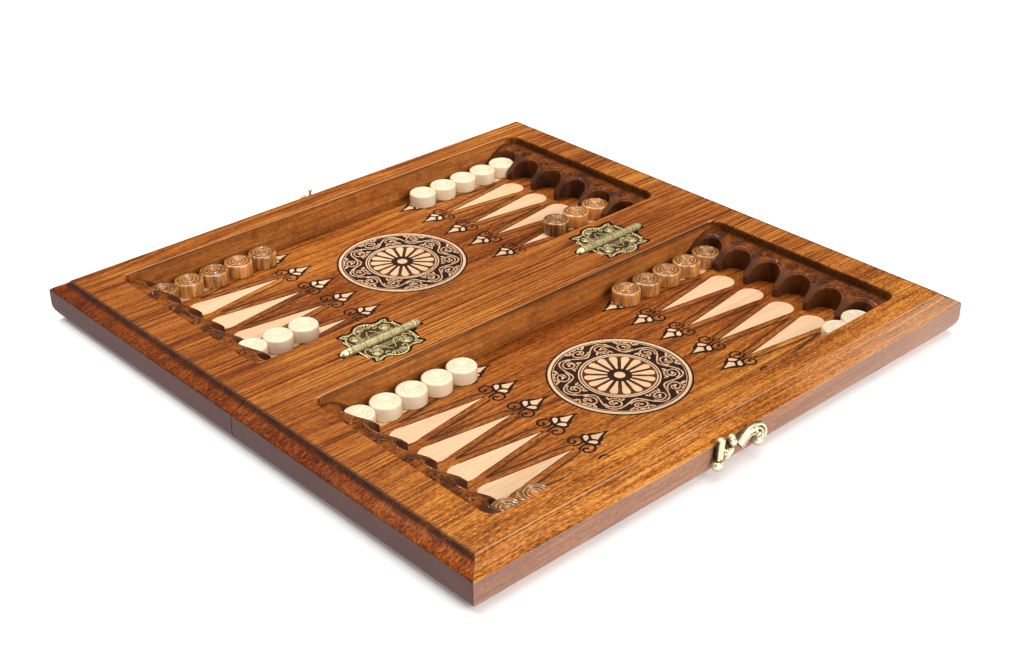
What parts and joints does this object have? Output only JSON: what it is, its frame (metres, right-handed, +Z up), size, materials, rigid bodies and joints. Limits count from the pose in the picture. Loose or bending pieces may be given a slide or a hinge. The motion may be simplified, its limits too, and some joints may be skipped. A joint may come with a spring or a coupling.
{
  "type": "chess and backgammon board",
  "caption": "Carved wooden folding game box, open flat as a backgammon board with scalloped ledges, turned checkers, ornate hinges and a swinging hook clasp.",
  "frame": {"origin": "on the underside, at the middle of the fold line", "axes": "+X along the fold line to the right, +Y from the front half (with the clasp) to the back half, +Z up out of the recesses"},
  "size_m": [0.5, 0.516, 0.038],
  "materials": {
    "stained_wood": "orange-brown stained beech with a clear gloss varnish",
    "burnt_wood": "darker burnt stain with a clear gloss varnish",
    "light_checker_wood": "pale wood, satin varnish",
    "dark_checker_wood": "brown stained wood, gloss varnish",
    "antique_brass": "cast antique brass, darkened in the hollows",
    "bright_brass": "pale polished brass"
  },
  "bodies": {
    "front_half": {"clasp_pivot": "bright_brass", "clasp_plate": "bright_brass", "clasp_screw": "bright_brass", "front_board": "stained_wood", "front_hinge_screws": "antique_brass", "front_ledge_left": "burnt_wood", "front_ledge_right": "burnt_wood", "hinge_left_front_leaf": "antique_brass", "hinge_left_pin": "antique_brass", "hinge_right_front_leaf": "antique_brass", "hinge_right_pin": "antique_brass"},
    "back_half": {"back_board": "stained_wood", "back_hinge_screws": "antique_brass", "back_ledge_left": "burnt_wood", "back_ledge_right": "burnt_wood", "catch_plate": "bright_brass", "catch_screws": "bright_brass", "hinge_left_back_leaf": "antique_brass", "hinge_right_back_leaf": "antique_brass"},
    "clasp_hook": {"clasp_hook": "bright_brass"},
    "checker_dark_01": {"checker_dark_01": "dark_checker_wood"},
    "checker_dark_02": {"checker_dark_02": "dark_checker_wood"},
    "checker_dark_03": {"checker_dark_03": "dark_checker_wood"},
    "checker_dark_04": {"checker_dark_04": "dark_checker_wood"},
    "checker_dark_05": {"checker_dark_05": "dark_checker_wood"},
    "checker_dark_06": {"checker_dark_06": "dark_checker_wood"},
    "checker_dark_07": {"checker_dark_07": "dark_checker_wood"},
    "checker_dark_08": {"checker_dark_08": "dark_checker_wood"},
    "checker_dark_09": {"checker_dark_09": "dark_checker_wood"},
    "checker_dark_10": {"checker_dark_10": "dark_checker_wood"},
    "checker_dark_11": {"checker_dark_11": "dark_checker_wood"},
    "checker_dark_12": {"checker_dark_12": "dark_checker_wood"},
    "checker_dark_13": {"checker_dark_13": "dark_checker_wood"},
    "checker_dark_14": {"checker_dark_14": "dark_checker_wood"},
    "checker_dark_15": {"checker_dark_15": "dark_checker_wood"},
    "checker_light_01": {"checker_light_01": "light_checker_wood"},
    "checker_light_02": {"checker_light_02": "light_checker_wood"},
    "checker_light_03": {"checker_light_03": "light_checker_wood"},
    "checker_light_04": {"checker_light_04": "light_checker_wood"},
    "checker_light_05": {"checker_light_05": "light_checker_wood"},
    "checker_light_06": {"checker_light_06": "light_checker_wood"},
    "checker_light_07": {"checker_light_07": "light_checker_wood"},
    "checker_light_08": {"checker_light_08": "light_checker_wood"},
    "checker_light_09": {"checker_light_09": "light_checker_wood"},
    "checker_light_10": {"checker_light_10": "light_checker_wood"},
    "checker_light_11": {"checker_light_11": "light_checker_wood"},
    "checker_light_12": {"checker_light_12": "light_checker_wood"},
    "checker_light_13": {"checker_light_13": "light_checker_wood"},
    "checker_light_14": {"checker_light_14": "light_checker_wood"},
    "checker_light_15": {"checker_light_15": "light_checker_wood"}
  },
  "joints": [
    {"name": "fold", "type": "hinge", "parent": "front_half", "child": "back_half", "pos_m": [0.0034, 0, 0.03415], "axis": [-1, 0, 0], "range_deg": [-180, 0]},
    {"name": "hook_swing", "type": "hinge", "parent": "front_half", "child": "clasp_hook", "pos_m": [-0.03, -0.254, 0.0195], "axis": [0, -1, 0], "range_deg": [0, 60]},
    {"name": "lift_dark_01", "type": "slide", "parent": "back_half", "child": "checker_dark_01", "axis": [0, 0, 1], "range_m": [0, 0.03]},
    {"name": "lift_dark_02", "type": "slide", "parent": "back_half", "child": "checker_dark_02", "axis": [0, 0, 1], "range_m": [0, 0.03]},
    {"name": "lift_dark_03", "type": "slide", "parent": "back_half", "child": "checker_dark_03", "axis": [0, 0, 1], "range_m": [0, 0.03]},
    {"name": "lift_dark_04", "type": "slide", "parent": "back_half", "child": "checker_dark_04", "axis": [0, 0, 1], "range_m": [0, 0.03]},
    {"name": "lift_dark_05", "type": "slide", "parent": "back_half", "child": "checker_dark_05", "axis": [0, 0, 1], "range_m": [0, 0.03]},
    {"name": "lift_dark_06", "type": "slide", "parent": "back_half", "child": "checker_dark_06", "axis": [0, 0, 1], "range_m": [0, 0.03]},
    {"name": "lift_dark_07", "type": "slide", "parent": "back_half", "child": "checker_dark_07", "axis": [0, 0, 1], "range_m": [0, 0.03]},
    {"name": "lift_dark_08", "type": "slide", "parent": "back_half", "child": "checker_dark_08", "axis": [0, 0, 1], "range_m": [0, 0.03]},
    {"name": "lift_dark_09", "type": "slide", "parent": "front_half", "child": "checker_dark_09", "axis": [0, 0, 1], "range_m": [0, 0.03]},
    {"name": "lift_dark_10", "type": "slide", "parent": "front_half", "child": "checker_dark_10", "axis": [0, 0, 1], "range_m": [0, 0.03]},
    {"name": "lift_dark_11", "type": "slide", "parent": "front_half", "child": "checker_dark_11", "axis": [0, 0, 1], "range_m": [0, 0.03]},
    {"name": "lift_dark_12", "type": "slide", "parent": "front_half", "child": "checker_dark_12", "axis": [0, 0, 1], "range_m": [0, 0.03]},
    {"name": "lift_dark_13", "type": "slide", "parent": "front_half", "child": "checker_dark_13", "axis": [0, 0, 1], "range_m": [0, 0.03]},
    {"name": "lift_dark_14", "type": "slide", "parent": "front_half", "child": "checker_dark_14", "axis": [0, 0, 1], "range_m": [0, 0.03]},
    {"name": "lift_dark_15", "type": "slide", "parent": "front_half", "child": "checker_dark_15", "axis": [0, 0, 1], "range_m": [0, 0.03]},
    {"name": "lift_light_01", "type": "slide", "parent": "back_half", "child": "checker_light_01", "axis": [0, 0, 1], "range_m": [0, 0.03]},
    {"name": "lift_light_02", "type": "slide", "parent": "back_half", "child": "checker_light_02", "axis": [0, 0, 1], "range_m": [0, 0.03]},
    {"name": "lift_light_03", "type": "slide", "parent": "back_half", "child": "checker_light_03", "axis": [0, 0, 1], "range_m": [0, 0.03]},
    {"name": "lift_light_04", "type": "slide", "parent": "back_half", "child": "checker_light_04", "axis": [0, 0, 1], "range_m": [0, 0.03]},
    {"name": "lift_light_05", "type": "slide", "parent": "back_half", "child": "checker_light_05", "axis": [0, 0, 1], "range_m": [0, 0.03]},
    {"name": "lift_light_06", "type": "slide", "parent": "back_half", "child": "checker_light_06", "axis": [0, 0, 1], "range_m": [0, 0.03]},
    {"name": "lift_light_07", "type": "slide", "parent": "back_half", "child": "checker_light_07", "axis": [0, 0, 1], "range_m": [0, 0.03]},
    {"name": "lift_light_08", "type": "slide", "parent": "back_half", "child": "checker_light_08", "axis": [0, 0, 1], "range_m": [0, 0.03]},
    {"name": "lift_light_09", "type": "slide", "parent": "front_half", "child": "checker_light_09", "axis": [0, 0, 1], "range_m": [0, 0.03]},
    {"name": "lift_light_10", "type": "slide", "parent": "front_half", "child": "checker_light_10", "axis": [0, 0, 1], "range_m": [0, 0.03]},
    {"name": "lift_light_11", "type": "slide", "parent": "front_half", "child": "checker_light_11", "axis": [0, 0, 1], "range_m": [0, 0.03]},
    {"name": "lift_light_12", "type": "slide", "parent": "front_half", "child": "checker_light_12", "axis": [0, 0, 1], "range_m": [0, 0.03]},
    {"name": "lift_light_13", "type": "slide", "parent": "front_half", "child": "checker_light_13", "axis": [0, 0, 1], "range_m": [0, 0.03]},
    {"name": "lift_light_14", "type": "slide", "parent": "front_half", "child": "checker_light_14", "axis": [0, 0, 1], "range_m": [0, 0.03]},
    {"name": "lift_light_15", "type": "slide", "parent": "front_half", "child": "checker_light_15", "axis": [0, 0, 1], "range_m": [0, 0.03]}
  ]
}
